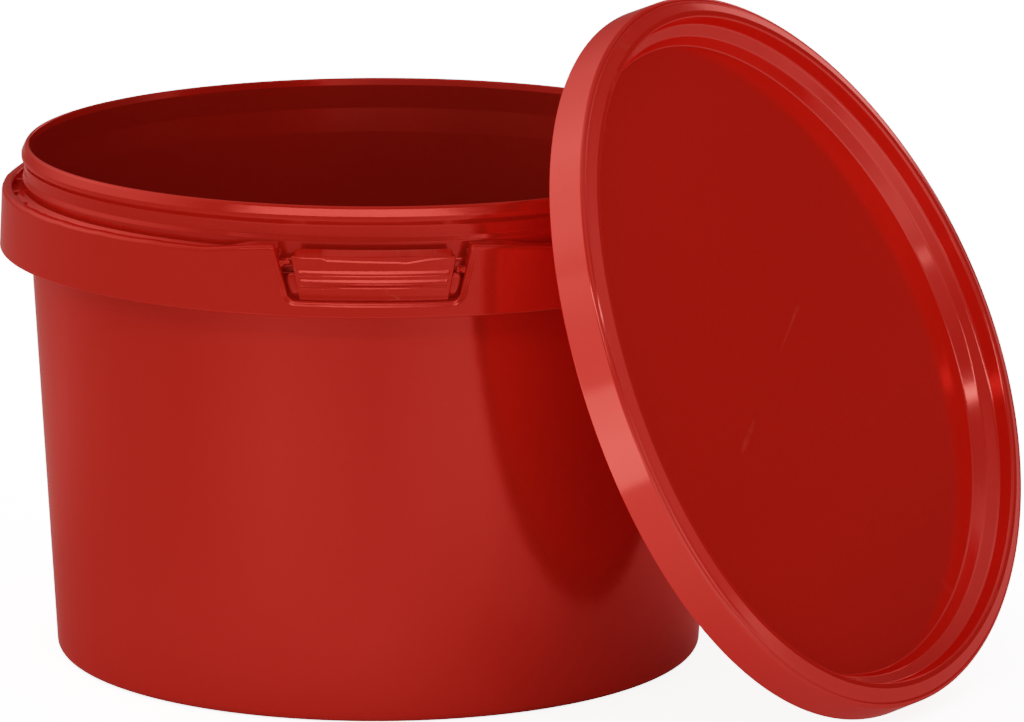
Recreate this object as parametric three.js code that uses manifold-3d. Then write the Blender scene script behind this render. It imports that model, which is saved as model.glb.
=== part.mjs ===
// Round injection-moulded paint tub, about one litre, with a tamper-evident
// collar, a tear-off tab in the collar and a press-on lid that stands on its
// edge and leans on the tub.
// Millimetres, +Z up. The origin is the centre of the tub's flat base, the
// tear-off tab faces -Y and the lid leans on the +X side.
import * as THREE from 'three';
import { mergeVertices } from 'three/addons/utils/BufferGeometryUtils.js';
import Module from 'manifold-3d';

const wasm = await Module();
wasm.setup();
const { degToRad } = THREE.MathUtils;

// ---- driving dimensions: heights are above the base, angles in degrees ------
const SEGMENTS = 72;            // facets around the tub and the lid
const FINE_SEGMENTS = 180;      // facets around the full rings the tab and links are cut from

const TUB_HEIGHT = 94.3;        // base to the top of the rim
const BASE_RADIUS = 59.4;       // outside, just above the base fillet
const BODY_TOP_RADIUS = 63.85;  // outside, where the wall meets the gutter web
const RIM_RADIUS = 65.0;        // outside of the rim bead
const NECK_RADIUS = 64.5;       // outside of the neck under the bead
const WALL = 1.2;
const FLOOR = 1.3;
const FOOT_GROOVE_IN = 50.0;    // shallow ring groove in the underside
const FOOT_GROOVE_OUT = 53.0;
const FOOT_GROOVE_DEPTH = 0.5;

const WEB_BOTTOM = 82.4;        // web that carries the collar
const WEB_TOP = 84.0;           // = floor of the gutter
const COLLAR_BOTTOM = 75.4;
const COLLAR_TOP = 86.6;        // crest of the rounded lip
const COLLAR_OUT_BOTTOM = 69.15;
const COLLAR_OUT_TOP = 68.6;
const COLLAR_IN_TOP = 66.8;     // gutter side of the collar
const COLLAR_IN_BOTTOM = 68.05; // open channel side, under the web

const RIB_COUNT = 36;           // stiffening ribs across the gutter
const RIB_PITCH = 360 / RIB_COUNT;
const RIB_FREE_ANGLE = 16;      // no ribs within this angle of the window's centre
const RIB_THICK = 0.8;
const RIB_LENGTH = 2.9;         // along the radius
const RIB_MID_RADIUS = 65.75;
const RIB_TOP = 85.4;
const BRIDGE_TOP = 86.9;        // gutter filled in beside the window
const BRIDGE_FROM = 15.9;       // angles either side of the window's centre
const BRIDGE_TO = 20;
const BRIDGE_STEPS = 3;
const BRIDGE_IN_RADIUS = 64.2;
const BRIDGE_OUT_RADIUS = 67.2;
const ROOT_DEPTH = 0.6;         // ribs and bridges reach this far down into the web

const WINDOW_TOP_HALF = 17.9;   // half width of the opening in the collar
const WINDOW_BOTTOM_HALF = 15.7;
const WINDOW_BOTTOM = 78.2;
const WINDOW_CORNER = 2.4;
const WINDOW_CORNER_STEPS = 5;
const WINDOW_OVERSHOOT = 1.5;   // the cut runs this far above the collar
const WINDOW_BACK_RADIUS = 65.6;

const TAB_TOP_HALF = 14.4;      // tear tab, at the front edge of its sloping top
const TAB_BACK_HALF = 13.6;
const TAB_BOTTOM_HALF = 12.95;
const TAB_BOTTOM = 78.55;
const TAB_FRONT_TOP = 86.0;     // the top slopes up from here
const TAB_TOP = 87.2;           // to here, at the back
const TAB_IN_RADIUS = 66.9;
const TAB_OUT_RADIUS = 68.35;
const TAB_RIB_HEIGHT = 0.25;    // ribs proud of the tab's face
const TAB_RIB_INSET = 0.9;      // rib ends in from the tab's sides
const TAB_RIB_LEVELS = [80.7, 81.8, 83.3];
const SCOOP_DISTANCE = 67.85;   // the finger scoop's flat back is this far towards -Y

const LINK_GAP = 0.3;           // least gap between a link and the tab's side
const LINK_LEFT = { side: -1, level: 84.9, length: 1.82 };
const LINK_RIGHT = { side: 1, level: 83.6, length: 1.7 };

const PRISM_NEAR = 50;          // cutting prisms span these distances towards -Y
const WINDOW_PRISM_NEAR = 55;
const PRISM_FAR = 75;

const TUB_TURN = -0.6;          // about Z: the tab faces a little to the left of -Y

const LID_RADIUS = 66.8;        // outside of the skirt at its lower edge
const LID_HEIGHT = 8.0;         // crest of the ring to the skirt's lower edge
const LID_PANEL = 0.8;          // panel thickness
const PANEL_DEPTH = 6.55;       // crest of the ring down to the panel
const PANEL_RADIUS = 58.7;
const LID_WARP = { cos: 1.4616, sin: -0.9517, radius: 66.6 }; // lift at that radius

const LID_YAW = 58.453;         // the way the lid's outside faces, from -Y towards +X
const LID_FACE_UP = 24.351;     // how far the lid's outside looks up from the horizontal
const LID_CENTRE = new THREE.Vector3(76.660, -41.415, 64.710); // centre of the ring's crest

// ---- solids and geometry ----------------------------------------------------
function toSolid(geometry) {
  // Without normals and uvs, seam and axis vertices merge into a closed surface.
  geometry.deleteAttribute('normal');
  geometry.deleteAttribute('uv');
  const merged = mergeVertices(geometry, 1e-4);
  const index = merged.index.array;
  const triangles = [];
  for (let i = 0; i < index.length; i += 3) {
    const [a, b, c] = index.slice(i, i + 3);
    if (a !== b && b !== c && c !== a) triangles.push(a, b, c);
  }
  return new wasm.Manifold(new wasm.Mesh({
    numProp: 3,
    vertProperties: new Float32Array(merged.attributes.position.array),
    triVerts: new Uint32Array(triangles),
  }));
}

function toGeometry(solid) {
  const mesh = solid.getMesh();
  const geometry = new THREE.BufferGeometry();
  const positions = new Float32Array(mesh.vertProperties);
  geometry.setAttribute('position', new THREE.BufferAttribute(positions, 3));
  geometry.setIndex(new THREE.BufferAttribute(new Uint32Array(mesh.triVerts), 1));
  geometry.computeVertexNormals();
  return geometry;
}

// A profile of [radius, height] pairs, turned about Z. It runs anticlockwise
// seen with the radius to the right, so the faces point out. It either starts
// and ends on the axis or is closed into a ring.
function turned(profile, segments = SEGMENTS) {
  const points = profile.map(([radius, z]) => new THREE.Vector2(radius, z));
  const startsOnAxis = profile[0][0] === 0;
  if (!startsOnAxis) points.push(points[0].clone());
  const geometry = new THREE.LatheGeometry(points, segments);
  geometry.rotateX(Math.PI / 2);
  return toSolid(geometry);
}

// A flat outline of [x, y] pairs, extruded along +Z.
function extruded(outline, depth) {
  const shape = new THREE.Shape(outline.map(([x, y]) => new THREE.Vector2(x, y)));
  return new THREE.ExtrudeGeometry(shape, { depth, bevelEnabled: false });
}

// An outline of [x, z] pairs, extruded between two distances towards -Y.
function frontPrism(outline, near = PRISM_NEAR) {
  const geometry = extruded(outline, PRISM_FAR - near);
  geometry.rotateX(Math.PI / 2);  // outline's y -> +Z, depth -> -Y
  geometry.translate(0, -near, 0);
  return toSolid(geometry);
}

// Points of an arc about [centreX, centreZ], angles in degrees.
function arc(centreX, centreZ, radius, from, to, steps) {
  return Array.from({ length: steps + 1 }, (_, i) => {
    const angle = degToRad(from + (to - from) * i / steps);
    return [centreX + radius * Math.cos(angle), centreZ + radius * Math.sin(angle)];
  });
}

// ---- tub --------------------------------------------------------------------
function bodyRadius(z) {
  return BASE_RADIUS + (BODY_TOP_RADIUS - BASE_RADIUS) * z / WEB_BOTTOM;
}

// [radius, height]
const TUB_PROFILE = [
  // underside and base fillet
  [0, 0],
  [FOOT_GROOVE_IN, 0],
  [FOOT_GROOVE_IN + 0.5, FOOT_GROOVE_DEPTH],
  [FOOT_GROOVE_OUT - 0.5, FOOT_GROOVE_DEPTH],
  [FOOT_GROOVE_OUT, 0],
  [57.9, 0], [58.85, 0.4], [BASE_RADIUS, 1.5],
  // outside of the wall
  [bodyRadius(40), 40],
  [bodyRadius(75), 75],
  [BODY_TOP_RADIUS, WEB_BOTTOM - 0.3],
  // under the web and down the inside of the collar
  [BODY_TOP_RADIUS + 0.3, WEB_BOTTOM],
  [COLLAR_IN_BOTTOM - 0.35, WEB_BOTTOM],
  [COLLAR_IN_BOTTOM, WEB_BOTTOM - 0.35],
  [COLLAR_IN_BOTTOM + 0.2, COLLAR_BOTTOM + 0.1],
  [COLLAR_IN_BOTTOM + 0.4, COLLAR_BOTTOM],
  // up the outside of the collar and over its lip
  [COLLAR_OUT_BOTTOM - 0.2, COLLAR_BOTTOM],
  [COLLAR_OUT_BOTTOM, COLLAR_BOTTOM + 0.4],
  [COLLAR_OUT_TOP + 0.08, 83.6],
  [COLLAR_OUT_TOP - 0.1, 85.1],
  [COLLAR_OUT_TOP - 0.5, 86.0],
  [COLLAR_OUT_TOP - 1.0, 86.5],
  [67.25, COLLAR_TOP],
  [66.95, 86.4],
  // gutter
  [COLLAR_IN_TOP, 85.95],
  [COLLAR_IN_TOP - 0.1, WEB_TOP + 0.3],
  [COLLAR_IN_TOP - 0.45, WEB_TOP],
  [NECK_RADIUS + 0.75, WEB_TOP],
  [NECK_RADIUS + 0.4, WEB_TOP + 0.4],
  // neck and rim bead
  [NECK_RADIUS + 0.35, 88.4],
  [NECK_RADIUS, 88.8],
  [NECK_RADIUS, 91.2],
  [RIM_RADIUS - 0.1, 91.7],
  [RIM_RADIUS, 92.2],
  [RIM_RADIUS - 0.03, 92.7],
  [RIM_RADIUS - 0.22, 93.45],
  [RIM_RADIUS - 0.6, 94.05],
  [RIM_RADIUS - 1.0, TUB_HEIGHT],
  [RIM_RADIUS - 1.3, 94.2],
  [RIM_RADIUS - 1.5, 93.7],
  [RIM_RADIUS - 1.65, 91.5],
  // inside of the wall and the floor
  [63.3, 88.0], [62.85, 84.5],
  [bodyRadius(79) - WALL, 79],
  [bodyRadius(40) - WALL, 40],
  [bodyRadius(3) - WALL, 3.2],
  [57.3, 1.75], [56.0, FLOOR], [0, FLOOR],
];

// One rib across the gutter, at an angle from the window's centre.
function gutterRib(angle) {
  const height = RIB_TOP - WEB_TOP + ROOT_DEPTH;
  const geometry = new THREE.BoxGeometry(RIB_LENGTH, RIB_THICK, height);
  geometry.translate(RIB_MID_RADIUS, 0, (RIB_TOP + WEB_TOP - ROOT_DEPTH) / 2);
  geometry.rotateZ(degToRad(angle - 90));
  return toSolid(geometry);
}

// The gutter is filled in on each side of the window, so that the collar ends stiffly.
function gutterBridge(side) {
  const curve = (radius) => Array.from({ length: BRIDGE_STEPS + 1 }, (_, i) => {
    const angle = degToRad(side * (BRIDGE_FROM + (BRIDGE_TO - BRIDGE_FROM) * i / BRIDGE_STEPS));
    return [radius * Math.sin(angle), -radius * Math.cos(angle)];
  });
  const plan = [...curve(BRIDGE_IN_RADIUS), ...curve(BRIDGE_OUT_RADIUS).reverse()];
  const geometry = extruded(plan, BRIDGE_TOP - WEB_TOP + ROOT_DEPTH);
  geometry.translate(0, 0, WEB_TOP - ROOT_DEPTH);
  return toSolid(geometry);
}

// Opening in the collar behind and around the tear tab.
function windowCut() {
  const cornerX = WINDOW_BOTTOM_HALF - WINDOW_CORNER;
  const cornerZ = WINDOW_BOTTOM + WINDOW_CORNER;
  const top = COLLAR_TOP + WINDOW_OVERSHOOT;
  const outline = [
    ...arc(-cornerX, cornerZ, WINDOW_CORNER, 190, 270, WINDOW_CORNER_STEPS),
    ...arc(cornerX, cornerZ, WINDOW_CORNER, 270, 350, WINDOW_CORNER_STEPS),
    [WINDOW_TOP_HALF, top],
    [-WINDOW_TOP_HALF, top],
  ];
  const core = turned([
    [0, 70], [WINDOW_BACK_RADIUS, 70], [WINDOW_BACK_RADIUS, 95], [0, 95],
  ]);
  return frontPrism(outline, WINDOW_PRISM_NEAR).subtract(core);
}

function buildTub() {
  let tub = turned(TUB_PROFILE);
  for (let k = 0; k < RIB_COUNT; k++) {
    const angle = (k + 0.5) * RIB_PITCH;
    if (Math.min(angle, 360 - angle) < RIB_FREE_ANGLE) continue;
    tub = tub.add(gutterRib(angle));
  }
  for (const side of [-1, 1]) tub = tub.add(gutterBridge(side));
  return tub.subtract(windowCut());
}

// ---- tear-off tab -----------------------------------------------------------
// Half width of the tab's front face at a height.
function tabHalf(z) {
  const rise = (z - TAB_BOTTOM) / (TAB_FRONT_TOP - TAB_BOTTOM);
  return TAB_BOTTOM_HALF + (TAB_TOP_HALF - TAB_BOTTOM_HALF) * rise;
}

// [x, z]
const TAB_OUTLINE = [
  [-TAB_BOTTOM_HALF, TAB_BOTTOM], [TAB_BOTTOM_HALF, TAB_BOTTOM],
  [TAB_TOP_HALF, TAB_FRONT_TOP], [TAB_BACK_HALF, TAB_TOP + 0.05],
  [-TAB_BACK_HALF, TAB_TOP + 0.05], [-TAB_TOP_HALF, TAB_FRONT_TOP],
];

// [radius, height]
const TAB_SECTION = [
  [TAB_IN_RADIUS, TAB_BOTTOM - 1], [TAB_OUT_RADIUS, TAB_BOTTOM - 1],
  [TAB_OUT_RADIUS, TAB_FRONT_TOP], [TAB_IN_RADIUS + 0.15, TAB_TOP],
  [TAB_IN_RADIUS, TAB_TOP],
];

// [out from the tab's face, up from the rib's level]
const TAB_RIB_SECTION = [
  [-0.3, -0.35], [0, -0.35], [TAB_RIB_HEIGHT, -0.1],
  [TAB_RIB_HEIGHT, 0.15], [0, 0.35], [-0.3, 0.35],
];

// [x, z]
const SCOOP_OUTLINE = [
  [-9.4, 87.5], [-8.4, 86.1], [-6.5, 85.6], [6.0, 85.3], [7.6, 86.1], [8.6, 87.5],
];

// Horizontal rib along the tab's face.
function tabRib(level) {
  const half = tabHalf(level) - TAB_RIB_INSET;
  const section = TAB_RIB_SECTION.map(([out, up]) => [TAB_OUT_RADIUS + out, level + up]);
  const span = [
    [-half, level - 1], [half, level - 1], [half, level + 1], [-half, level + 1],
  ];
  return turned(section, FINE_SEGMENTS).intersect(frontPrism(span));
}

// A curved trapezoid plate that stands clear inside the window, with a finger
// scoop in the front of its top edge.
function buildTab() {
  let tab = turned(TAB_SECTION, FINE_SEGMENTS).intersect(frontPrism(TAB_OUTLINE));
  for (const level of TAB_RIB_LEVELS) tab = tab.add(tabRib(level));
  return tab.subtract(frontPrism(SCOOP_OUTLINE, SCOOP_DISTANCE));
}

// ---- break-off links --------------------------------------------------------
// Small pieces in the gaps beside the tab, above its mid height, touching
// neither the tab nor the window.
function buildLink({ side, level, length }) {
  const start = tabHalf(level + 0.6) + LINK_GAP;
  const end = start + length;
  const outline = [
    [side * start, level - 0.6], [side * end, level - 0.8],
    [side * (end + 0.1), level + 0.6], [side * (start + 0.05), level + 0.6],
  ];
  const inRadius = TAB_IN_RADIUS + 0.2;
  const outRadius = TAB_OUT_RADIUS - 0.1;
  const section = [[inRadius, 76], [outRadius, 76], [outRadius, 90], [inRadius, 90]];
  return turned(section, FINE_SEGMENTS).intersect(frontPrism(outline));
}

// ---- lid --------------------------------------------------------------------
// [radius, height] about the lid's own axis: crest of the ring at 0, outside up.
const LID_PROFILE = [
  // underside of the panel and the ring
  [0, -PANEL_DEPTH - LID_PANEL], [PANEL_RADIUS + 0.6, -PANEL_DEPTH - LID_PANEL],
  [60.0, -7.0], [60.6, -5.3], [61.4, -5.0], [62.8, -5.0], [63.3, -4.5],
  [63.35, -3.9], [63.1, -3.2], [63.1, -1.6], [63.4, -1.3],
  // inside of the skirt
  [65.2, -1.7], [65.5, -2.2], [65.55, -4.2], [64.9, -4.8], [64.95, -5.2],
  [65.65, -5.8], [65.75, -LID_HEIGHT + 0.1], [65.85, -LID_HEIGHT],
  // outside of the skirt
  [LID_RADIUS - 0.1, -LID_HEIGHT], [LID_RADIUS, -LID_HEIGHT + 0.15],
  [66.5, -1.7], [66.4, -1.2], [66.0, -0.85],
  // over the crest and down to the panel
  [65.0, -0.5], [64.0, -0.15], [63.1, 0], [62.5, -0.1], [62.15, -0.5],
  [62.0, -2.5], [61.5, -3.3], [60.4, -3.9], [59.8, -4.6], [59.1, -6.3],
  [PANEL_RADIUS, -PANEL_DEPTH], [0, -PANEL_DEPTH],
];

// The free lid is slightly saddle-shaped, as thin moulded lids are off the tub.
// The lift follows r^2 cos 2a = x^2 - y^2 and r^2 sin 2a = 2xy.
function warpToSaddle(geometry) {
  const position = geometry.attributes.position;
  for (let i = 0; i < position.count; i++) {
    const x = position.getX(i);
    const y = position.getY(i);
    const lift = LID_WARP.cos * (x * x - y * y) + LID_WARP.sin * 2 * x * y;
    position.setZ(i, position.getZ(i) + lift / LID_WARP.radius ** 2);
  }
  geometry.computeVertexNormals();
}

// ---- scene graph ------------------------------------------------------------
const TUB_GLOSS = { color: 0xa81c16, roughness: 0.28 };
const TAB_GLOSS = { color: 0xa81c16, roughness: 0.3 };
const LID_GLOSS = { color: 0xa0170f, roughness: 0.26 };

function named(name, solid, gloss) {
  const material = new THREE.MeshStandardMaterial({ ...gloss, metalness: 0 });
  const mesh = new THREE.Mesh(toGeometry(solid), material);
  mesh.name = name;
  return mesh;
}

function tubGroup() {
  const group = new THREE.Group();
  group.rotation.z = degToRad(TUB_TURN);
  group.add(
    named('tub', buildTub(), TUB_GLOSS),
    named('tear_tab', buildTab(), TAB_GLOSS),
    named('tab_link_left', buildLink(LINK_LEFT), TAB_GLOSS),
    named('tab_link_right', buildLink(LINK_RIGHT), TAB_GLOSS),
  );
  return group;
}

function lidGroup() {
  const group = new THREE.Group();
  group.position.copy(LID_CENTRE);
  group.rotation.set(degToRad(90 - LID_FACE_UP), 0, degToRad(LID_YAW), 'ZXY');
  const lid = named('lid', turned(LID_PROFILE), LID_GLOSS);
  warpToSaddle(lid.geometry);
  group.add(lid);
  return group;
}

const group = new THREE.Group();
group.add(tubGroup(), lidGroup());

export default group;
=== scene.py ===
"""A round red plastic tub with a tear-off tab, and its lid beside it.

The tub stands on z = 0 about the Z axis, with the tab and its window at the front (-Y).
The lid stands tilted at the tub's front right. Shapes are in mm, the scene is in metres.
"""

import math

import bpy
import bmesh
import numpy as np
from mathutils import Matrix, Vector


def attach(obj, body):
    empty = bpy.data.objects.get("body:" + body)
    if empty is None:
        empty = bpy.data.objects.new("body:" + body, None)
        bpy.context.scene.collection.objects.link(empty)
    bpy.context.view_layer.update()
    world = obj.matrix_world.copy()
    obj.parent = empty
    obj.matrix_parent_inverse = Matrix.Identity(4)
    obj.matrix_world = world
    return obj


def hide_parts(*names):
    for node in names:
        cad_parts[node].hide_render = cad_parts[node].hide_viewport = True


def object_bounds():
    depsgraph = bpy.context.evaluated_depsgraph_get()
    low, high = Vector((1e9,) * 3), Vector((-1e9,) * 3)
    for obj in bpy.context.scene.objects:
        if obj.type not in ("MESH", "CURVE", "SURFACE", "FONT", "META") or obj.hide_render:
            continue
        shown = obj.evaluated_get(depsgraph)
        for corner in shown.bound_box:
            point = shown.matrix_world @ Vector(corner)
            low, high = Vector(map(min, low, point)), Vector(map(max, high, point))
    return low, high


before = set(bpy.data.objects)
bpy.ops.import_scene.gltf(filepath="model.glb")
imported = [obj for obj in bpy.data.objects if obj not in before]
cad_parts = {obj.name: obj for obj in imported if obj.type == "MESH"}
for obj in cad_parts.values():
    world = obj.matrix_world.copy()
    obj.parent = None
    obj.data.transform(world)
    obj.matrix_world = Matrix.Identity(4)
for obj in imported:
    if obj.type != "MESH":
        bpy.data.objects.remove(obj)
cad_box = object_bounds()
scene = bpy.context.scene

MM = 0.001
TUB_TURN = Matrix.Rotation(math.radians(-0.6), 4, "Z")

# tub wall
TUB_SEGMENTS = 384
WALL_FOOT_R = 59.4
WALL_TOP_R, WALL_TOP_Z = 63.85, 82.4

# collar round the rim and the window cut into its front
COLLAR_TOP, COLLAR_BOTTOM = 86.6, 75.4
COLLAR_R = 68.8                 # radius on which the window is laid out
WINDOW_BOTTOM = 78.3
WINDOW_HALF, WINDOW_CORNER = 14.75, 1.7

# ribs in the gutter between wall and collar; the first stands half a pitch from the front
RIB_PITCH = 10                  # degrees
RIB_SIZE = (2.9, 0.8, 2.0)      # radial, around, up
RIB_BEVEL = 0.25
RIB_R, RIB_Z = 65.85, 84.85
RIB_FREE = 16                   # degrees either side of the front without ribs

# tear-off tab
TAB_BOTTOM, TAB_HALF = 78.42, 12.95
TAB_CENTRE_Z = 82.3
TAB_AROUND, TAB_ROWS = 520, 150
EAR_BOTTOM = 78.95


# ------------------------------------------------------------------ mesh tools
def smooth(value, start, end):
    t = np.clip((np.asarray(value, float) - start) / (end - start), 0, 1)
    return t * t * (3 - 2 * t)


def between(start, end, t):
    return start + (end - start) * t


def rounded(points, closed=False, step=7.0, longest=3.0):
    """A smooth polyline from corners (across, up, fillet radius).

    step is the largest turn per piece of arc in degrees, longest the longest piece.
    """
    corners = [np.array(p[:2], float) for p in points]
    count = len(corners)
    path = []
    for i, corner in enumerate(corners):
        if not closed and i in (0, count - 1):
            path.append(corner)
            continue
        back, ahead = corners[i - 1] - corner, corners[(i + 1) % count] - corner
        back_length, ahead_length = np.linalg.norm(back), np.linalg.norm(ahead)
        back, ahead = back / back_length, ahead / ahead_length
        angle = math.acos(max(-1.0, min(1.0, float(back @ ahead))))
        fillet = points[i][2]
        if fillet <= 0 or math.pi - angle < math.radians(1.0):
            path.append(corner)
            continue
        cut = min(fillet / math.tan(angle / 2), 0.48 * back_length, 0.48 * ahead_length)
        radius = cut * math.tan(angle / 2)
        middle = (back + ahead) / np.linalg.norm(back + ahead)
        centre = corner + middle * radius / math.sin(angle / 2)
        first, last = corner + back * cut - centre, corner + ahead * cut - centre
        start = math.atan2(first[1], first[0])
        end = math.atan2(last[1], last[0])
        sweep = (end - start + math.pi) % (2 * math.pi) - math.pi
        pieces = max(2, int(math.ceil(abs(math.degrees(sweep)) / step)))
        for j in range(pieces + 1):
            at = start + sweep * j / pieces
            path.append(centre + radius * np.array([math.cos(at), math.sin(at)]))
    result = [path[0]]
    for target in path[1:] + ([path[0]] if closed else []):
        origin = result[-1]
        length = np.linalg.norm(target - origin)
        if length < 1e-6:
            continue
        pieces = int(math.ceil(length / longest))
        for j in range(1, pieces + 1):
            result.append(origin + (target - origin) * j / pieces)
    if closed:
        result.pop()
    return np.array(result)


def outward(verts, faces):
    """Faces (n, 4; a triangle's last index is -1) with their winding turned outward."""
    tri = faces[:, 3] < 0
    last = np.where(tri, faces[:, 2], faces[:, 3])
    a, b, c, d = verts[faces[:, 0]], verts[faces[:, 1]], verts[faces[:, 2]], verts[last]
    volume = (np.einsum("ij,ij->i", a, np.cross(b, c))
              + np.einsum("ij,ij->i", a, np.cross(c, d))).sum()
    if volume >= 0:
        return faces
    flipped = faces.copy()
    flipped[~tri] = faces[~tri][:, ::-1]
    flipped[tri, :3] = faces[tri][:, [2, 1, 0]]
    return flipped


def outward_from_middle(verts, faces):
    return verts, outward(verts - verts.mean(0), faces)


def padded(faces):
    return np.array([tuple(f) + (-1,) * (4 - len(f)) for f in faces], int)


def turned(profile, segments):
    """(verts, faces) of a profile (r, z) turned about Z that starts and ends on the axis."""
    angle = np.linspace(0, 2 * np.pi, segments, endpoint=False)
    verts, rings = [], []
    count = 0
    for r, z in profile:
        if r < 1e-6:
            verts.append(np.array([[0, 0, z]]))
            rings.append(np.full(segments, count))
            count += 1
        else:
            verts.append(np.stack([r * np.cos(angle), r * np.sin(angle),
                                   np.full(segments, z)], -1))
            rings.append(np.arange(count, count + segments))
            count += segments
    verts = np.concatenate(verts)
    none = np.full(segments, -1)
    faces = []
    for low, high in zip(rings, rings[1:]):
        low_next, high_next = np.roll(low, -1), np.roll(high, -1)
        if low[0] == low_next[0]:
            faces.append(np.stack([low, high_next, high, none], -1))
        elif high[0] == high_next[0]:
            faces.append(np.stack([low, low_next, high, none], -1))
        else:
            faces.append(np.stack([low, low_next, high_next, high], -1))
    return verts, outward(verts, np.concatenate(faces))


def ring_mesh(phi, r, z):
    """(verts, faces) of sections (r, z), one row per angle phi from the front towards +X.

    The surface closes on itself both round the axis and round each section.
    """
    rows, columns = r.shape
    phi = phi[:, None]
    verts = np.stack([r * np.sin(phi), -r * np.cos(phi), z], -1).reshape(-1, 3)
    i, j = np.meshgrid(np.arange(rows), np.arange(columns), indexing="ij")
    i_next, j_next = (i + 1) % rows, (j + 1) % columns
    faces = np.stack([i * columns + j, i_next * columns + j,
                      i_next * columns + j_next, i * columns + j_next], -1)
    return verts, outward(verts, faces.reshape(-1, 4))


def joined(*parts):
    verts, faces, base = [], [], 0
    for part_verts, part_faces in parts:
        verts.append(part_verts)
        faces.append(np.where(part_faces < 0, -1, part_faces + base))
        base += len(part_verts)
    return np.concatenate(verts), np.concatenate(faces)


def make(name, part, material, body, replaced, matrix):
    """A smooth-shaded object from (verts, faces) in mm, attached to its body's empty in place
    of the CAD part it hides.
    """
    verts, faces = part
    mesh = bpy.data.meshes.new(name)
    place = np.array(matrix, float)
    verts = verts * MM @ place[:3, :3].T + place[:3, 3]
    size = np.where(faces[:, 3] < 0, 3, 4)
    mesh.vertices.add(len(verts))
    mesh.vertices.foreach_set("co", verts.ravel())
    mesh.loops.add(int(size.sum()))
    mesh.loops.foreach_set("vertex_index", faces.ravel()[faces.ravel() >= 0])
    mesh.polygons.add(len(faces))
    mesh.polygons.foreach_set("loop_start", np.concatenate([[0], np.cumsum(size)[:-1]]))
    mesh.polygons.foreach_set("loop_total", size)
    mesh.update(calc_edges=True)
    mesh.validate()
    mesh.polygons.foreach_set("use_smooth", np.ones(len(mesh.polygons), bool))
    obj = bpy.data.objects.new(name, mesh)
    scene.collection.objects.link(obj)
    mesh.materials.append(material)
    normals = obj.modifiers.new("normals", "WEIGHTED_NORMAL")
    normals.mode = "FACE_AREA"
    normals.keep_sharp = True
    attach(obj, body)
    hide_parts(replaced)
    return obj


# ------------------------------------------------------------------ shader tools
class Shader:
    """Adds nodes to one tree; inputs are given as values or as sockets to link."""

    def __init__(self, tree):
        self.tree = tree

    def feed(self, node, inputs):
        for key, value in inputs.items():
            if isinstance(value, bpy.types.NodeSocket):
                self.tree.links.new(value, node.inputs[key])
            else:
                node.inputs[key].default_value = value

    def add(self, kind, inputs=None, **settings):
        node = self.tree.nodes.new("ShaderNode" + kind)
        for name, value in settings.items():
            setattr(node, name, value)
        self.feed(node, inputs or {})
        return node

    def calc(self, operation, *operands, clamp=False):
        return self.add("Math", dict(enumerate(operands)),
                        operation=operation, use_clamp=clamp).outputs[0]

    def mix_colour(self, factor, a, b):
        return self.add("Mix", {0: factor, 6: a, 7: b}, data_type="RGBA").outputs[2]

    def mix_value(self, factor, a, b):
        return self.add("Mix", {0: factor, 2: a, 3: b}, data_type="FLOAT").outputs[0]

    def ramp(self, factor, stops):
        """A colour ramp through stops (position, colour)."""
        node = self.add("ValToRGB", {0: factor})
        elements = node.color_ramp.elements
        while len(elements) > 1:
            elements.remove(elements[-1])
        elements[0].position = stops[0][0]
        elements[0].color = stops[0][1]
        for position, colour in stops[1:]:
            elements.new(position).color = colour
        return node.outputs[0]

    def mask(self, factor, black, white):
        return self.ramp(factor, [(black, (0, 0, 0, 1)), (white, (1, 1, 1, 1))])

    def around(self, azimuth, values):
        """Linear interpolation of twelve values round the circle; azimuth from 0 to 1."""
        top = 8                 # scales the values into the ramp's range
        stops = [(i / 12, (v / top, v / top, v / top, 1))
                 for i, v in enumerate(values + values[:1])]
        return self.calc("MULTIPLY", self.ramp(azimuth, stops), float(top))

    def azimuth(self, x, y):
        """Azimuth from the front towards +X, as 0 to 1 for -180 to 180 degrees."""
        angle = self.calc("ARCTAN2", x, self.calc("MULTIPLY", y, -1.0))
        return self.calc("ADD", self.calc("DIVIDE", angle, 2 * math.pi), 0.5)


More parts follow.
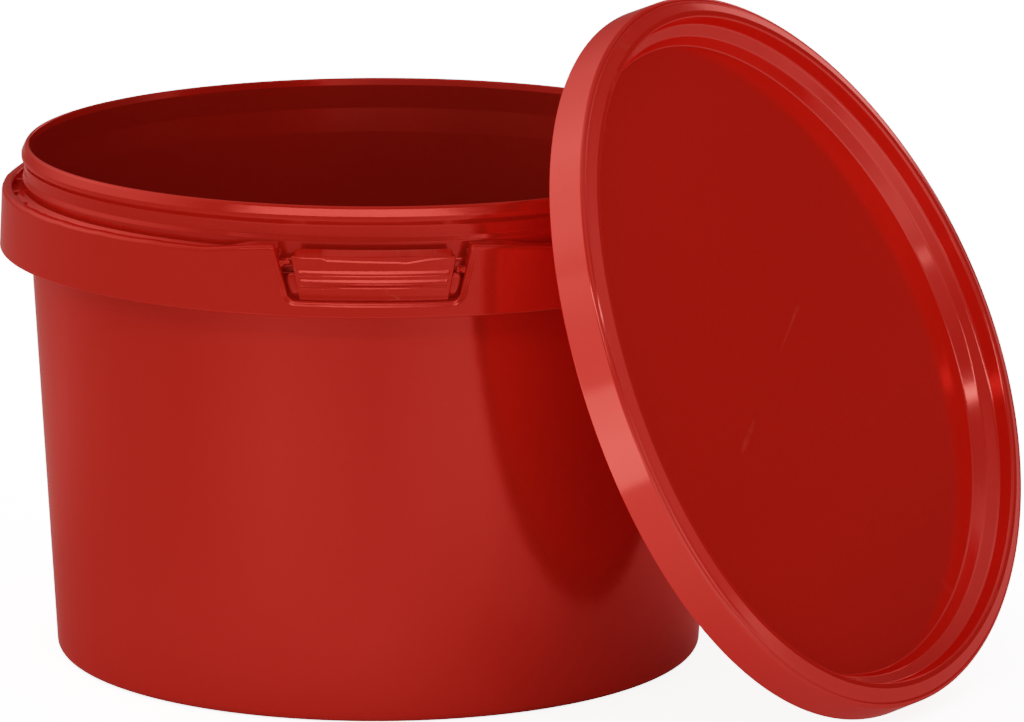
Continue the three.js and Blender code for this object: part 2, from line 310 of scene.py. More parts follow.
# ------------------------------------------------------------------ materials
def plastic(name, base, rough=0.12, wear_and_highlight=0.2, scratch=0.35, relief=1.0, ior=2.25, tint=0.085):
    """Glossy moulded polypropylene.

    wear_and_highlight pales the edges, partly as wear and partly as a painted highlight along
    ridges, scratch and relief scale the marks and the ripple, ior sets the gloss layer's
    strength and tint how much green and blue it reflects square on.
    """
    material = bpy.data.materials.new(name)
    material.use_nodes = True
    tree = material.node_tree
    tree.nodes.clear()
    shader = Shader(tree)
    calc, mask = shader.calc, shader.mask
    out = shader.add("OutputMaterial")
    bsdf = shader.add("BsdfPrincipled")
    place = shader.add("TexCoord").outputs["Object"]

    def stretched(scale):
        return shader.add("Mapping", {"Scale": scale, "Vector": place}).outputs[0]

    def noise(scale, detail, roughness=0.5, vector=place):
        return shader.add("TexNoise", {"Scale": scale, "Detail": detail,
                                       "Roughness": roughness, "Vector": vector}).outputs["Fac"]

    def bump(height, strength, distance, invert=False, **below):
        return shader.add("Bump", {"Strength": strength, "Distance": distance,
                                   "Height": height, **below}, invert=invert).outputs[0]

    red, green, blue = base
    darker = tuple(0.93 * c for c in base) + (1,)
    grain_colour = (red * 1.25, green * 2.0 + 0.003, blue * 2.0 + 0.003, 1)
    # pale pink for the edges: partly wear, partly painted highlight
    worn_and_highlight_colour = (min(1, red * 1.35), green * 5 + 0.03, blue * 5 + 0.03, 1)

    # slow pigment drift, then fine pigment grain
    drift = mask(noise(scale=14.0, detail=3.0), black=0.35, white=0.7)
    colour = shader.mix_colour(drift, base + (1,), darker)
    grain = mask(noise(scale=900.0, detail=2.0), black=0.45, white=0.75)
    grain_strength = 0.10
    colour = shader.mix_colour(calc("MULTIPLY", grain, grain_strength), colour, grain_colour)

    # rubbed, paler edges: partly wear, partly a painted highlight along ridges
    pointiness = shader.add("NewGeometry").outputs["Pointiness"]
    edge = mask(pointiness, black=0.515, white=0.56)
    patchy = mask(noise(scale=160.0, detail=4.0, roughness=0.6), black=0.42, white=0.62)
    worn_and_highlight = calc("MULTIPLY", calc("MULTIPLY", edge, patchy), wear_and_highlight)
    colour = shader.mix_colour(worn_and_highlight, colour, worn_and_highlight_colour)

    # roughness: handling haze, two directions of fine scratches, duller edges
    haze = mask(noise(scale=22.0, detail=4.0, roughness=0.55), black=0.3, white=0.75)
    upright, level = (
        mask(noise(scale=1.0, detail=3.0, roughness=0.6, vector=stretched(stretch)),
             black=black, white=0.70)
        for stretch, black in (((900, 900, 40), 0.60), ((60, 1200, 500), 0.62)))
    scratches = calc("MAXIMUM", upright, level)
    roughness = rough
    for layer, amount in ((haze, 0.035), (scratches, 0.05 * scratch), (worn_and_highlight, 0.3)):
        roughness = calc("ADD", roughness, calc("MULTIPLY", layer, amount))

    # bump: orange peel, wide moulding ripple, scratch marks
    normal = bump(noise(scale=520.0, detail=2.0, roughness=0.4),
                  strength=0.10 * relief, distance=0.00012)
    ripple = noise(scale=1.0, detail=1.5, roughness=0.4, vector=stretched((48, 48, 26)))
    normal = bump(ripple, strength=0.16 * relief, distance=0.0006, Normal=normal)
    normal = bump(scratches, strength=0.08 * scratch, distance=0.00004, invert=True,
                  Normal=normal)
    shader.feed(bsdf, {"Base Color": colour, "Roughness": roughness, "Normal": normal,
                       "Specular IOR Level": 0.0})

    # gloss layer: the reflection is red seen square on and paler towards grazing
    fresnel = shader.add("Fresnel", {"IOR": ior, "Normal": normal}).outputs[0]
    gloss_colour = shader.ramp(fresnel, [(0.15, (1, tint, tint * 0.8, 1)),
                                         (0.32, (1, tint + 0.07, tint + 0.05, 1)),
                                         (1.0, (1, 0.42, 0.38, 1))])
    gloss = shader.add("BsdfGlossy", {"Roughness": roughness, "Normal": normal,
                                      "Color": gloss_colour})
    both = shader.add("MixShader", {0: fresnel, 1: bsdf.outputs[0], 2: gloss.outputs[0]})
    shader.feed(out, {0: both.outputs[0]})
    return material


TUB_RED = (0.39, 0.0105, 0.0045)
# the inner wall gets a darker red: painted shade inside the tub
INSIDE_SHADE_RED = (0.27, 0.009, 0.0038)
LID_RED = (0.52, 0.0094, 0.0034)
mat_tub = plastic("tub_plastic_glossy", TUB_RED, scratch=0.12)
# darker copy of the tub plastic for the inner wall: painted shade
mat_inside_shade = plastic("tub_plastic_inside_painted_shade", INSIDE_SHADE_RED, rough=0.2, wear_and_highlight=0.1, scratch=0.0,
                     relief=0.5)
# the tab's edges are paled more: a painted highlight along its ridges
mat_tab = plastic("tab_plastic_glossy", TUB_RED, wear_and_highlight=0.35, scratch=0.08, relief=0.6)
mat_lid = plastic("lid_plastic_glossy", LID_RED, relief=0.5, scratch=0.0, ior=2.9, tint=0.10)

# ------------------------------------------------------------------ tub
# (r, z, fillet radius): under the base, up the outside, over the rim, down the inside
BODY_PROFILE = [
    (0, 0.35, 0), (1.1, 0.35, 0.1), (1.3, 0.12, 0.1), (3.6, 0.12, 0.1), (3.9, 0.0, 0.1),
    (49.9, 0, 0.35), (50.6, 0.5, 0.25), (52.4, 0.5, 0.25), (53.1, 0, 0.35),
    (59.38, 0, 1.45),
    (WALL_TOP_R, WALL_TOP_Z, 0), (64.80, 83.0, 0.0),
    (64.85, 88.1, 0.9), (64.5, 89.0, 0.9),
    (64.5, 90.9, 1.0), (65.0, 91.9, 0.7),
    (65.0, 92.55, 0.5), (64.38, 93.88, 0.45), (64.05, 94.3, 0.5), (63.6, 94.25, 0.45),
    (63.4, 93.0, 0.8),
    (63.28, 88.6, 4.0), (62.8, 84.0, 5.0),
    (58.25, 1.3, 2.2), (0, 1.3, 0),
]

# (x, z, fillet radius): the collar's top edge from left to right, down round the window
WINDOW_EDGE = [
    (-36.0, COLLAR_TOP, 0), (-30.0, COLLAR_TOP, 14), (-21.3, 87.65, 14), (-17.65, 87.85, 0.6),
    (-WINDOW_HALF, WINDOW_BOTTOM, WINDOW_CORNER), (WINDOW_HALF, WINDOW_BOTTOM, WINDOW_CORNER),
    (17.2, 88.0, 0.7), (21.5, 87.7, 12), (31.5, COLLAR_TOP, 14), (36.0, COLLAR_TOP, 0),
]

# raised lines round the window, by distance from its edge: (start, crest, end, fall height)
WINDOW_LINES = ((0, 0.42, 0.54, 0.2), (0.56, 0.92, 1.06, 0.17))
LINE_SLOPE = 0.47

window_edge = rounded(WINDOW_EDGE, step=5, longest=0.16)
edge_phi = np.arcsin(window_edge[:, 0] / COLLAR_R)
edge_limit = edge_phi[-1]
rest_phi = np.linspace(edge_limit, 2 * np.pi - edge_limit, 520)[1:-1]
collar_phi = np.concatenate([edge_phi, rest_phi])
collar_x = COLLAR_R * np.sin(collar_phi)
collar_front = np.cos(collar_phi) > 0


def collar_outer(z):
    return between(69.15, 68.6, (z - COLLAR_BOTTOM) / (COLLAR_TOP - COLLAR_BOTTOM))


def collar_inner(z):
    """The inner face steps towards the axis near the top."""
    low = between(68.32, 68.05, (z - COLLAR_BOTTOM) / 7.0)
    return between(low, 66.75, smooth(z, 82.45, 83.4))


def arc(centre_r, centre_z, radius_r, radius_z, start, end, count):
    angle = np.radians(np.linspace(start, end, count))
    return np.stack([centre_r + radius_r * np.cos(angle),
                     centre_z + radius_z * np.sin(angle)], -1)


def collar_section(top, round_r, round_z, round_in):
    """(r, z, 1 on the outer face and its top rounding) round one section of the collar."""
    foot_in, foot_out = 0.25, 0.35
    outer_foot, outer_top = COLLAR_BOTTOM + foot_out, top - round_z
    inner_foot, inner_top = COLLAR_BOTTOM + foot_in, top - round_in
    share = np.linspace(0, 1, 72)[1:]
    share = 0.35 * share + 0.65 * (1 - (1 - share) ** 1.7)     # rows crowd towards the top
    outer_z = between(outer_foot, outer_top, share)
    inner_z = between(inner_top, inner_foot, np.linspace(0, 1, 36)[1:-1])
    outer_r = collar_outer(outer_top) - round_r
    inner_r = collar_inner(inner_top)
    crest_r = min(inner_r + round_in, outer_r - 0.01)
    runs = (
        (0, arc(collar_inner(COLLAR_BOTTOM) + foot_in, inner_foot, foot_in, foot_in,
                180, 270, 5)),
        (0, arc(collar_outer(COLLAR_BOTTOM) - foot_out, outer_foot, foot_out, foot_out,
                270, 360, 6)),
        (1, np.stack([collar_outer(outer_z), outer_z], -1)),
        (1, arc(outer_r, outer_top, round_r, round_z, 0, 90, 12)[1:]),
        (0, arc(crest_r, inner_top, crest_r - inner_r, round_in, 90, 180, 8)),
        (0, np.stack([collar_inner(inner_z), inner_z], -1)),
    )
    return np.concatenate([np.column_stack([run, np.full(len(run), float(outer))])
                           for outer, run in runs])


def collar():
    """One closed ring whose top follows the window's edge."""
    # the lip rises a hair where each gutter rib meets it
    from_rib = np.degrees(rest_phi) % RIB_PITCH - RIB_PITCH / 2
    rest_top = COLLAR_TOP + 0.10 * np.exp(-(from_rib / 1.5) ** 2)
    top = np.concatenate([window_edge[:, 1], rest_top])
    # the roundings grow from the window's bottom upwards
    grown = smooth(top, WINDOW_BOTTOM, 84.0)
    sections = np.array([collar_section(*values) for values in zip(
        top, between(0.26, 0.80, grown), between(0.26, 0.90, grown),
        between(0.24, 0.45, grown))])
    r, z, outer = np.moveaxis(sections, -1, 0)

    # fine raised lines round the window, fainter towards the top
    cut = window_edge[(window_edge[:, 1] < 86.0) & (np.abs(window_edge[:, 0]) < 18.5)]
    near = collar_front & (np.abs(np.sin(collar_phi)) < math.sin(edge_limit) + 0.001)
    for k in np.where(near)[0]:
        distance = np.hypot(collar_x[k] - cut[:, 0], z[k][:, None] - cut[:, 1]).min(1)
        lift = sum(np.where(distance < crest, LINE_SLOPE * np.clip(distance - start, 0, None),
                            height * (1 - smooth(distance, crest, end)))
                   for start, crest, end, height in WINDOW_LINES)
        fade = (1 - 0.75 * smooth(z[k], 80.0, 82.0)) * (1 - smooth(z[k], 84.2, 85.8))
        r[k] += lift * outer[k] * fade
    return ring_mesh(collar_phi, r, z)


def web():
    """Web under the gutter: cut back in the window, filled in beside it."""
    bottom = WALL_TOP_Z
    from_middle = np.where(collar_front, np.abs(collar_x), 99.0)
    outer = between(65.62, 67.9, smooth(from_middle, 16.95, 17.2))
    degrees = np.where(collar_front, np.degrees(np.arcsin(np.sin(collar_phi))), 99.0)
    left = smooth(-degrees, 14.6, 15.0) * (1 - smooth(-degrees, 17.5, 24.0))
    right = smooth(degrees, 14.6, 15.0) * (1 - smooth(degrees, 18.5, 27.5))
    sections = []
    for r, fill in zip(outer, np.maximum(left, right)):
        if r <= 66.9:
            top = outer_top = 83.6 + 0.4 * smooth(r, 65.7, 66.9)
        else:
            top = 85.2 + 1.3 * fill
            outer_top = 85.1 + 1.3 * fill if r > 67 else 83.6
        sections.append([
            (63.2, bottom), (r - 0.3, bottom), (r - 0.09, bottom + 0.09), (r, bottom + 0.3),
            (r, outer_top - 0.25), (r - 0.09, outer_top - 0.05),
            (r - 0.3, between(outer_top, top, 0.3)), (min(66.6, r - 0.4), top),
            (min(65.75, r - 0.45), top + 0.25), (65.15, top + 0.75), (64.75, top + 1.5),
            (64.4, top + 2.3), (63.2, bottom + 1.0)])
    sections = np.array(sections)
    return ring_mesh(collar_phi, sections[..., 0], sections[..., 1])


def rib(angle):
    """A rounded block across the gutter at an angle from the front."""
    bm = bmesh.new()
    bmesh.ops.create_cube(bm, size=1.0)
    for v in bm.verts:
        v.co = Vector([c * size for c, size in zip(v.co, RIB_SIZE)])
    bmesh.ops.bevel(bm, geom=list(bm.edges), offset=RIB_BEVEL, offset_type="OFFSET",
                    segments=3, profile=0.5, affect="EDGES")
    centre = Vector((RIB_R * math.sin(angle), -RIB_R * math.cos(angle), RIB_Z))
    place = Matrix.Translation(centre) @ Matrix.Rotation(angle - math.pi / 2, 4, "Z")
    bmesh.ops.transform(bm, matrix=place, verts=bm.verts)
    verts = np.array([v.co[:] for v in bm.verts])
    faces = padded([tuple(v.index for v in f.verts) for f in bm.faces])
    bm.free()
    return outward_from_middle(verts, faces)


def paint_inside_shade(obj, body_count):
    """Gives the faces of the tub's inner wall the second, darker material: painted shade inside
    the tub.
    """
    mesh = obj.data
    mesh.materials.append(mat_inside_shade)
    centre = np.empty(len(mesh.polygons) * 3)
    mesh.polygons.foreach_get("center", centre)
    x, y, z = centre.reshape(-1, 3).T / MM
    first_loop = np.empty(len(mesh.polygons), int)
    mesh.polygons.foreach_get("loop_start", first_loop)
    vertex = np.empty(len(mesh.loops), int)
    mesh.loops.foreach_get("vertex_index", vertex)
    r = np.hypot(x, y)
    wall = np.where(z < WALL_TOP_Z, between(WALL_FOOT_R, WALL_TOP_R, z / WALL_TOP_Z), 63.9)
    inside = ((vertex[first_loop] < body_count) & (z > 1.2) & (z < 93.9)
              & (r < wall - 0.5) & (r < 63.56))
    mesh.polygons.foreach_set("material_index", inside.astype(int))


tub_body = turned(rounded(BODY_PROFILE), TUB_SEGMENTS)
rib_degrees = [RIB_PITCH // 2 + RIB_PITCH * k for k in range(360 // RIB_PITCH)]
ribs = [rib(math.radians(degrees)) for degrees in rib_degrees
        if abs((degrees + 180) % 360 - 180) >= RIB_FREE]
tub = make("tub_shell", joined(tub_body, collar(), web(), *ribs), mat_tub, "tub", "tub",
           TUB_TURN)
# the inner wall takes the darker material: painted shade
paint_inside_shade(tub, len(tub_body[0]))

# ------------------------------------------------------------------ tear-off tab
# (x, z, fillet radius): both outlines start at the lower left, so the sides run straight
TAB_FOOT = [(-TAB_HALF, TAB_BOTTOM, 0.4), (TAB_HALF, TAB_BOTTOM, 0.4)]
TAB_FRONT = TAB_FOOT + [(14.4, 86.05, 0.3), (-14.4, 86.05, 0.3)]
TAB_BACK = TAB_FOOT + [(13.65, 87.2, 0.35), (-13.65, 87.2, 0.35)]

# ridges across the front: (crest z, height)
TAB_RIDGES = ((83.15, 0.28), (82.62, 0.12), (81.62, 0.26), (81.16, 0.10), (80.50, 0.09))

# lower edge of the finger scoop: x and z
SCOOP_X = [-9.3, -8.2, 4.4, 5.6, 9.0, 13.0]
SCOOP_Z = [86.05, 85.60, 85.33, 85.20, 85.72, 86.05]


def even_outline(points):
    """Evenly spaced points along a rounded polygon."""
    path = rounded(points, closed=True, step=6, longest=0.2)
    path = np.vstack([path, path[:1]])
    along = np.concatenate([[0], np.cumsum(np.linalg.norm(np.diff(path, axis=0), axis=1))])
    at = np.linspace(0, along[-1], TAB_AROUND, endpoint=False)
    return np.stack([np.interp(at, along, path[:, 0]), np.interp(at, along, path[:, 1])], -1)


def tab_front_radius(x, z):
    """Distance of the tab's front from the tub's axis."""
    r = np.full(x.shape, 68.35)
    half = TAB_HALF + (z - 78.6) * 0.195 - 0.6
    flat = 1 - smooth(np.abs(x), half - 0.25, half)
    for crest, height in TAB_RIDGES:
        above = np.clip(height - 0.49 * (z - crest), 0, None)
        below = height * (1 - smooth(crest - z, 0.02, 0.15))
        r += np.where(z > crest, above, below) * flat
    # one groove across
    r -= 0.22 * np.cos(np.clip((z - 81.02) / 0.2, -1, 1) * math.pi / 2) ** 2 * flat
    # swelling along the bottom
    r += 0.22 * (1 - smooth(z, 78.45, 79.5))
    # finger scoop: the sloping top reaches further down in the middle
    scoop = np.interp(x, SCOOP_X, SCOOP_Z)
    r -= 0.49 * np.clip(z - (scoop - 0.34), 0, 0.34) + 1.05 * np.clip(z - scoop, 0, None)
    return r


def tab_sheet(points, radius_at, rounding, direction):
    """Verts of one face of the tab, shrunk towards its centre row by row.

    direction is the way the rounded edge bends: -1 towards the axis, 1 away from it.
    """
    edge = even_outline(points)
    share = 1 - (1 - np.linspace(0, 1, TAB_ROWS)) ** 1.5       # denser near the edge
    centre = np.array([0.0, TAB_CENTRE_Z])
    grid = centre + share[:, None, None] * (edge[None] - centre)
    x, z = grid[..., 0], grid[..., 1]
    distance = np.full(x.shape, 99.0)
    for edge_x, edge_z in edge:
        distance = np.minimum(distance, np.hypot(x - edge_x, z - edge_z))
    inset = np.clip(rounding - distance, 0, rounding)
    bend = rounding - np.sqrt(np.clip(rounding ** 2 - inset ** 2, 0, None))
    r = radius_at(x, z) + direction * bend
    sheet = np.stack([x, -np.sqrt(np.maximum(r ** 2 - x ** 2, 0)), z], -1)
    return np.concatenate([sheet[0, :1], sheet[1:].reshape(-1, 3)])


def tab_plate():
    front = tab_sheet(TAB_FRONT, tab_front_radius, rounding=0.22, direction=-1)
    back = tab_sheet(TAB_BACK, lambda x, z: 66.95, rounding=0.16, direction=1)
    j = np.arange(TAB_AROUND)
    k = (j + 1) % TAB_AROUND
    none = np.full(TAB_AROUND, -1)
    faces, edges = [], []
    for base, order in ((0, [0, 1, 2, 3]), (len(front), [0, 2, 1, 3])):
        faces.append(np.stack([np.full(TAB_AROUND, base), base + 1 + j, base + 1 + k,
                               none], -1)[:, order])
        for i in range(TAB_ROWS - 2):
            near = base + 1 + i * TAB_AROUND
            far = near + TAB_AROUND
            quads = np.stack([near + j, far + j, far + k, near + k], -1)
            faces.append(quads[:, ::-1] if base else quads)
        edges.append(base + 1 + (TAB_ROWS - 2) * TAB_AROUND)
    front_edge, back_edge = edges
    faces.append(np.stack([front_edge + j, back_edge + j, back_edge + k, front_edge + k], -1))
    return outward_from_middle(np.concatenate([front, back]), np.concatenate(faces))


def bar(start, end, widths, thick, radius=67.65, waist=0.45, cap=8, square=0.6):
    """A small rounded bar from start to end (x, z), at a radius from the tub's axis.

    waist narrows its middle, a higher cap gives blunter ends, a lower square a boxier section.
    """
    steps, around = 40, 28
    start, end = np.array(start, float), np.array(end, float)
    along = (end - start) / np.linalg.norm(end - start)
    angle = 2 * np.pi * np.arange(around) / around
    side, rise = (np.copysign(np.abs(wave) ** square, wave) / 2
                  for wave in (np.cos(angle), np.sin(angle)))
    rings = []
    for i in range(steps + 1):
        t = (1 - math.cos(math.pi * i / steps)) / 2
        neck = 1 - waist * math.exp(-((t - 0.5) / 0.22) ** 2)
        thin = 1 - 0.5 * waist * math.exp(-((t - 0.5) / 0.25) ** 2)
        tip = max(math.sqrt(max(0.0, 1 - abs(2 * t - 1) ** cap)), 0.02)
        across = side * between(*widths, t) * neck * tip
        centre = between(start, end, t)
        x, z = centre[0] - along[1] * across, centre[1] + along[0] * across
        r = radius + rise * thick * thin * tip
        rings.append(np.stack([x, -np.sqrt(r * r - x ** 2), z], -1))
    verts = np.concatenate(rings + [rings[0].mean(0)[None], rings[-1].mean(0)[None]])
    first, last = len(verts) - 2, len(verts) - 1
    pairs = [(j, (j + 1) % around) for j in range(around)]
    faces = [(i * around + j, i * around + k, (i + 1) * around + k, (i + 1) * around + j)
             for i in range(steps) for j, k in pairs]
    for j, k in pairs:
        faces.append((first, k, j))
        faces.append((last, steps * around + j, steps * around + k))
    return outward_from_middle(verts, padded(faces))


tab_parts = [tab_plate()]
for side, ear_top in ((-1, 82.9), (1, 83.0)):
    # flat ear with a round lower end that fills the gap beside the tab
    ear_top_x = 13.55 + (ear_top - EAR_BOTTOM) * 0.235
    tab_parts.append(bar((side * 13.55, EAR_BOTTOM), (side * ear_top_x, ear_top),
                         widths=(1.75, 1.95), thick=0.8, radius=67.35, waist=0, cap=3.2,
                         square=0.45))
    # thinner strip nearer the axis, between ear and tab
    tab_parts.append(bar((side * 12.6, 78.9), (side * 13.3, 82.5), widths=(1.6, 1.6),
                         thick=0.42, radius=67.2, waist=0, cap=14, square=0.35))
make("tear_tab_skin", joined(*tab_parts), mat_tab, "tear_tab", "tear_tab",
     TUB_TURN)

# waisted links from the tab to the collar
left_link = bar((-16.6, 84.45), (-14.62, 85.25), widths=(1.3, 1.15), thick=1.1)
right_link = bar((14.36, 83.62), (16.1, 83.45), widths=(1.2, 1.35), thick=1.1)
for link_name, link in (("tab_link_left", left_link), ("tab_link_right", right_link)):
    make(link_name + "_skin", link, mat_tab, "tub", link_name, TUB_TURN)

# ------------------------------------------------------------------ lid
# (r, z, fillet radius): underside from the axis, round the skirt, back over the top
LID_PROFILE = [
    (0, -7.35, 0), (59.4, -7.35, 0.6), (60.6, -5.05, 0.5), (62.85, -5.0, 0.4),
    (63.42, -4.2, 0.25), (63.1, -3.3, 0.3), (63.15, -1.35, 0.4), (65.45, -1.65, 0.5),
    (65.55, -4.2, 0.3), (64.85, -5.0, 0.3), (65.65, -5.8, 0.3), (65.75, -8.0, 0.12),
    (66.8, -8.0, 0.35), (66.5, -1.15, 0.9), (65.86, -0.88, 0.08), (65.7, -1.06, 0.08),
    (65.5, -0.76, 0.08), (65.0, -0.6, 0.7), (63.35, 0.05, 0.7), (62.2, 0.0, 0.5),
    (61.95, -2.85, 0.8), (59.85, -4.1, 0.75), (58.95, -6.55, 0.4), (0, -6.55, 0),
]
LID_SEGMENTS = 512
LID_R = 66.6
LID_SADDLE = (1.4616, -0.9517)          # warp at LID_R along the axes and the diagonals
LID_PLACE = Vector((76.660, -41.415, 64.710))
LID_YAW, LID_TILT = math.radians(58.453), math.radians(90 - 24.351)


def make_lid():
    verts, faces = turned(rounded(LID_PROFILE, step=5, longest=2.2), LID_SEGMENTS)
    # off the tub the thin lid is slightly saddle-shaped
    x, y = verts[:, 0], verts[:, 1]
    straight, diagonal = LID_SADDLE
    verts[:, 2] += (straight * (x ** 2 - y ** 2) + diagonal * 2 * x * y) / LID_R ** 2
    place = (Matrix.Translation(LID_PLACE * MM) @ Matrix.Rotation(LID_YAW, 4, "Z")
             @ Matrix.Rotation(LID_TILT, 4, "X"))
    return make("lid_shell", (verts, faces), mat_lid, "lid", "lid", place)


lid = make_lid()

# ------------------------------------------------------------------ stage
# soft studio: (elevation in degrees, brightness by azimuth from the front, every
# 30 degrees from -180 to 150)
SKY = (
    (5, (0.30, 0.40, 1.00, 0.60, 0.50, 0.40, 0.70, 2.00, 1.40, 0.18, 0.04, 0.20)),
    (28, (0.40, 1.70, 3.40, 2.40, 0.45, 0.15, 0.12, 0.12, 0.20, 0.75, 0.06, 0.30)),
    (58, (0.40, 0.50, 1.60, 0.90, 0.35, 0.28, 0.22, 0.22, 0.50, 0.60, 0.60, 0.35)),
)
SKY_TOP = 1.10
SKY_SEEN = 3.0                          # brightness the camera sees

# light coming up from the pale table, by azimuth as above, in four rings round the axis
TABLE = (
    (0.15, 0.10, 0.10, 0.18, 0.38, 0.62, 0.70, 0.15, 0.30, 0.50, 0.55, 0.45),   # 0.10 m
    (0.15, 0.15, 0.60, 0.25, 0.25, 0.95, 0.50, 1.30, 0.20, 0.45, 0.60, 0.40),   # 0.22 m
    (0.40, 0.15, 0.30, 0.12, 0.12, 0.15, 0.10, 0.65, 2.00, 0.25, 0.10, 0.10),   # 0.49 m
    (0.20, 0.10, 0.20, 0.20, 0.30, 0.20, 0.20, 0.50, 0.65, 0.15, 0.10, 0.10),   # 1.09 m
)
TABLE_FIRST = 0.10                      # radius of the first ring
TABLE_OCTAVES = 1.15                    # doublings of radius from ring to ring
TABLE_SEEN = 2.3
TABLE_GREY, TABLE_GREY_SEEN = 0.52, 0.84
FLOOR_R, FLOOR_SIDES = 4, 96


def floor_material():
    material = bpy.data.materials.new("floor_pale")
    material.use_nodes = True
    shader = Shader(material.node_tree)
    calc = shader.calc
    position = shader.add("NewGeometry").outputs["Position"]
    x, y, _ = shader.add("SeparateXYZ", {0: position}).outputs
    radius = calc("SQRT", calc("ADD", calc("MULTIPLY", x, x), calc("MULTIPLY", y, y)))
    octaves = calc("SUBTRACT", calc("LOGARITHM", radius, 2.0), math.log2(TABLE_FIRST))
    ring = calc("DIVIDE", octaves, TABLE_OCTAVES)
    azimuth = shader.azimuth(x, y)
    glow = None
    for k, row in enumerate(TABLE):
        off = calc("ABSOLUTE", calc("SUBTRACT", ring, float(k)))
        tent = calc("SUBTRACT", 1.0, off, clamp=True)
        part = calc("MULTIPLY", shader.around(azimuth, row), tent)
        glow = part if glow is None else calc("ADD", glow, part)
    seen = shader.add("LightPath").outputs["Is Camera Ray"]
    shader.feed(material.node_tree.nodes["Principled BSDF"], {
        "Roughness": 0.7,
        "Specular IOR Level": 0.15,
        "Base Color": shader.mix_colour(seen, (TABLE_GREY,) * 3 + (1,),
                                        (TABLE_GREY_SEEN,) * 3 + (1,)),
        "Emission Color": (1, 1, 1, 1),
        "Emission Strength": shader.mix_value(seen, glow, TABLE_SEEN),
    })
    material.cycles.emission_sampling = "NONE"
    return material


def make_floor():
    mesh = bpy.data.meshes.new("floor")
    angles = [2 * math.pi * k / FLOOR_SIDES for k in range(FLOOR_SIDES)]
    mesh.from_pydata([Vector((FLOOR_R * math.cos(a), FLOOR_R * math.sin(a), 0))
                      for a in angles], [], [tuple(range(FLOOR_SIDES))])
    floor = bpy.data.objects.new("floor", mesh)
    scene.collection.objects.link(floor)
    mesh.materials.append(floor_material())
    floor.location.z = cad_box[0][2] - 0.0001      # a hair under the lowest point


def make_world():
    world = bpy.data.worlds.new("studio")
    scene.world = world
    world.use_nodes = True
    shader = Shader(world.node_tree)
    calc = shader.calc
    direction = shader.add("TexCoord").outputs["Generated"]
    x, y, z = shader.add("SeparateXYZ", {0: direction}).outputs
    azimuth = shader.azimuth(x, y)
    upward = calc("MINIMUM", calc("MAXIMUM", z, -1.0), 1.0)
    elevation = calc("MULTIPLY", calc("ARCSINE", upward), 180 / math.pi)
    # each band fades into the next one up
    heights = [float(height) for height, _ in SKY] + [90.0]
    reached, sky = 1.0, None
    for (_, values), low, high in zip(SKY, heights, heights[1:]):
        passed = calc("DIVIDE", calc("SUBTRACT", elevation, low), high - low, clamp=True)
        band = calc("MULTIPLY", shader.around(azimuth, values),
                    calc("SUBTRACT", reached, passed))
        sky = band if sky is None else calc("ADD", sky, band)
        reached = passed
    sky = calc("ADD", sky, calc("MULTIPLY", reached, SKY_TOP))
    seen = shader.add("LightPath").outputs["Is Camera Ray"]
    shader.feed(world.node_tree.nodes["Background"], {
        "Strength": shader.mix_value(seen, sky, SKY_SEEN), "Color": (1, 1, 1, 1)})


make_floor()
make_world()


# ------------------------------------------------------------------ lights
def panel(name, width, height, radiance):
    data = bpy.data.lights.new(name, "AREA")
    data.shape = "RECTANGLE"
    data.size, data.size_y = width, height
    data.energy = radiance * math.pi * width * height
    light = bpy.data.objects.new(name, data)
    scene.collection.objects.link(light)
    return light


def aim(light, azimuth, elevation, distance, target):
    """Places a light as seen from its target; azimuth runs from the front towards +X."""
    turn, lift = math.radians(azimuth), math.radians(elevation)
    target = Vector(target)
    light.location = target + distance * Vector((
        math.sin(turn) * math.cos(lift), -math.cos(turn) * math.cos(lift), math.sin(lift)))
    light.rotation_euler = (target - light.location).to_track_quat("-Z", "Y").to_euler()


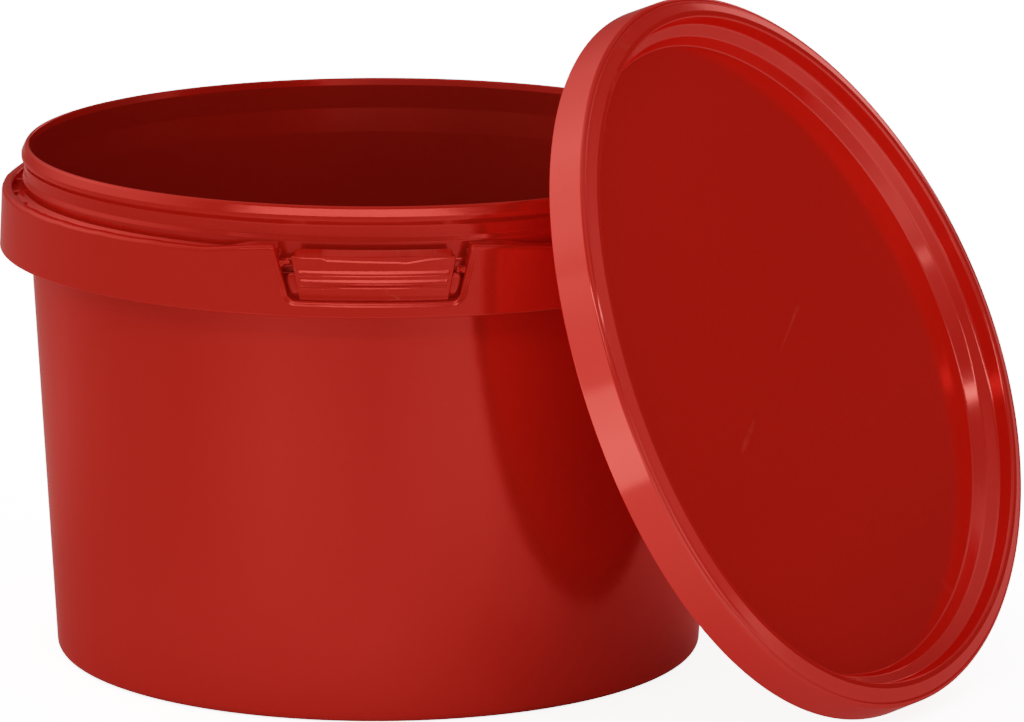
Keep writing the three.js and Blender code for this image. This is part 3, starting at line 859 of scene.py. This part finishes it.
aim(panel("front_strip", width=1.9, height=0.11, radiance=8.5),
    azimuth=-6, elevation=38, distance=1.25, target=(0, 0, 0.09))
aim(panel("back_right_strip", width=0.40, height=0.60, radiance=2.2),
    azimuth=157, elevation=16, distance=1.1, target=(0.05, 0, 0.08))
left_low = panel("left_low", width=1.7, height=0.60, radiance=0.8)
aim(left_low, azimuth=-66, elevation=10, distance=1.25, target=(0.04, 0, 0.06))

# light shining up from the table at the front left
table_glow = panel("lid_table_glow", width=0.95, height=0.75, radiance=2.6)
table_glow.rotation_euler = (math.pi, 0, 0)
table_glow.location = (-0.50, -0.42, 0.004)

# these two light the lid only
only_lid = bpy.data.collections.new("lit_lid")
only_lid.objects.link(lid)
for light in (table_glow, left_low):
    light.light_linking.receiver_collection = only_lid
    light.visible_camera = False

# ------------------------------------------------------------------ camera
CAMERA_PLACE = Vector((-0.1168, -1257.61, 329.28))
CAMERA_RIGHT = Vector((0.99981223, -0.01928144, 0.00193326))
CAMERA_UP = Vector((0.00225342, 0.21477326, 0.97666134))
CAMERA_AHEAD = Vector((0.01924665, 0.97647359, -0.21477639))

camera_data = bpy.data.cameras.new("camera")
camera = bpy.data.objects.new("camera", camera_data)
scene.collection.objects.link(camera)
camera_data.sensor_fit = "HORIZONTAL"
camera_data.sensor_width = 36.0
camera_data.lens = 245.86875
camera_data.clip_start, camera_data.clip_end = 0.05, 20
pose = Matrix((CAMERA_RIGHT, CAMERA_UP, -CAMERA_AHEAD)).transposed().to_4x4()
pose.translation = CAMERA_PLACE * MM
camera.matrix_world = pose
scene.camera = camera

# ------------------------------------------------------------------ view
# a soft shoulder, so that bright reds turn paler instead of clipping: (scene value, shown)
WHITE = 3.0
SHOULDER = ((0.12, 0.12), (0.25, 0.25), (0.35, 0.345), (0.55, 0.454), (0.75, 0.53),
            (0.95, 0.605), (1.25, 0.69), (1.65, 0.775), (2.1, 0.86))

view = scene.view_settings
view.view_transform = "Standard"
view.look = "None"
view.exposure = 0.0
view.use_curve_mapping = True
mapping = view.curve_mapping
mapping.white_level = (WHITE,) * 3
curve_points = mapping.curves[3].points
curve_points[0].location = (0.0, 0.0)
curve_points[1].location = (1.0, 1.0)
for value, shown in SHOULDER:
    curve_points.new(value / WHITE, shown)
mapping.update()
